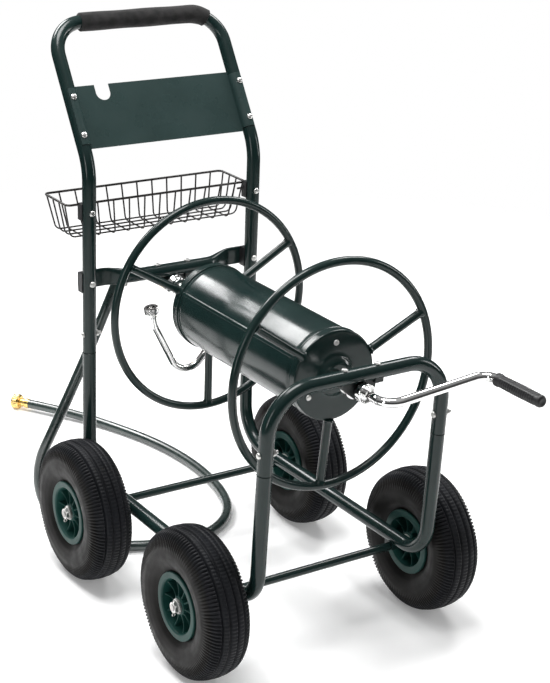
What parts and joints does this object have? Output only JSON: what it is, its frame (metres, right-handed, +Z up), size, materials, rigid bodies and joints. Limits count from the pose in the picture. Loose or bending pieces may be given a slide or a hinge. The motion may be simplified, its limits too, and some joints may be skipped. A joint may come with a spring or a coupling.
{
  "type": "garden hose reel cart",
  "caption": "Wheeled tube-frame cart with a crank-driven hose reel between two spoked discs, a raked push handle, wire basket, tool panel and leader hose.",
  "frame": {"origin": "on the floor, under the middle of the cart without its loose hose", "axes": "+Z up, +Y from the crank towards the push handle, +X to the right of someone facing the crank"},
  "size_m": [0.5566, 1.4928, 0.987],
  "materials": {
    "green_paint": "gloss powder coat",
    "green_plastic": "semi-gloss moulding",
    "tyre_rubber": "matt tread rubber",
    "black_rubber": "matt",
    "hose_rubber": "satin, fine lengthwise lines",
    "black_foam": "matt foam",
    "black_plastic": "satin moulding",
    "black_coating": "satin coated wire",
    "black_casting": "satin paint",
    "chrome": "polished",
    "zinc": "bright zinc plate",
    "brass": "machined"
  },
  "bodies": {
    "frame": {"side_rail_left": "green_paint", "side_rail_right": "green_paint", "front_axle_tube": "green_paint", "rear_axle_tube": "green_paint", "axle_saddles": "green_paint", "wheel_axles": "zinc", "front_hoop": "green_paint", "handle_frame": "green_paint", "foam_grip": "black_foam", "rear_crossbar": "green_paint", "crossbar_saddles": "black_plastic", "tool_panel": "green_paint", "basket": "black_coating", "basket_clips": "black_plastic", "front_bearing_bracket": "black_casting", "rear_bearing_bracket": "black_casting", "shaft_bushes": "black_plastic", "short_bolts": "zinc", "long_bolts": "zinc", "frame_nuts": "zinc", "swivel_body": "brass", "swivel_seal": "black_rubber", "hose_clamp": "zinc", "leader_hose": "hose_rubber", "coupling_tail": "brass", "axle_washers": "zinc", "axle_nuts": "zinc", "split_pins": "zinc"},
    "reel": {"drum_barrel": "green_paint", "front_end_cap": "green_paint", "rear_end_cap": "green_paint", "front_disc": "green_paint", "rear_disc": "green_paint", "reel_shaft": "chrome", "shaft_collars": "chrome", "shaft_ring": "chrome", "crank_pin": "zinc", "crank_arm": "chrome", "drum_tie_rods": "zinc", "tie_rod_nuts": "zinc", "gooseneck": "chrome"},
    "crank_handle": {"crank_grip": "black_plastic"},
    "front_left_wheel": {"front_left_tyre": "tyre_rubber", "front_left_inner_tube": "black_rubber", "front_left_rim": "green_plastic", "front_left_hub_bushes": "zinc"},
    "front_right_wheel": {"front_right_tyre": "tyre_rubber", "front_right_inner_tube": "black_rubber", "front_right_rim": "green_plastic", "front_right_hub_bushes": "zinc"},
    "rear_left_wheel": {"rear_left_tyre": "tyre_rubber", "rear_left_inner_tube": "black_rubber", "rear_left_rim": "green_plastic", "rear_left_hub_bushes": "zinc"},
    "rear_right_wheel": {"rear_right_tyre": "tyre_rubber", "rear_right_inner_tube": "black_rubber", "rear_right_rim": "green_plastic", "rear_right_hub_bushes": "zinc"},
    "hose_nut": {"coupling_nut": "brass"}
  },
  "joints": [
    {"name": "reel_spin", "type": "hinge", "parent": "frame", "child": "reel", "pos_m": [0, -0.20649, 0.5], "axis": [0, 1, 0], "continuous": true},
    {"name": "crank_grip_spin", "type": "hinge", "parent": "reel", "child": "crank_handle", "pos_m": [0.19824, -0.37849, 0.51734], "axis": [0, -1, 0], "continuous": true},
    {"name": "front_left_wheel_spin", "type": "hinge", "parent": "frame", "child": "front_left_wheel", "pos_m": [-0.236, -0.16949, 0.13], "axis": [1, 0, 0], "continuous": true},
    {"name": "front_right_wheel_spin", "type": "hinge", "parent": "frame", "child": "front_right_wheel", "pos_m": [0.236, -0.16949, 0.13], "axis": [1, 0, 0], "continuous": true},
    {"name": "rear_left_wheel_spin", "type": "hinge", "parent": "frame", "child": "rear_left_wheel", "pos_m": [-0.236, 0.22351, 0.13], "axis": [1, 0, 0], "continuous": true},
    {"name": "rear_right_wheel_spin", "type": "hinge", "parent": "frame", "child": "rear_right_wheel", "pos_m": [0.236, 0.22351, 0.13], "axis": [1, 0, 0], "continuous": true},
    {"name": "hose_nut_spin", "type": "hinge", "parent": "frame", "child": "hose_nut", "pos_m": [-0.01306, 0.99141, 0.0168], "axis": [-0.5574, 0.8302, 0], "continuous": true}
  ]
}
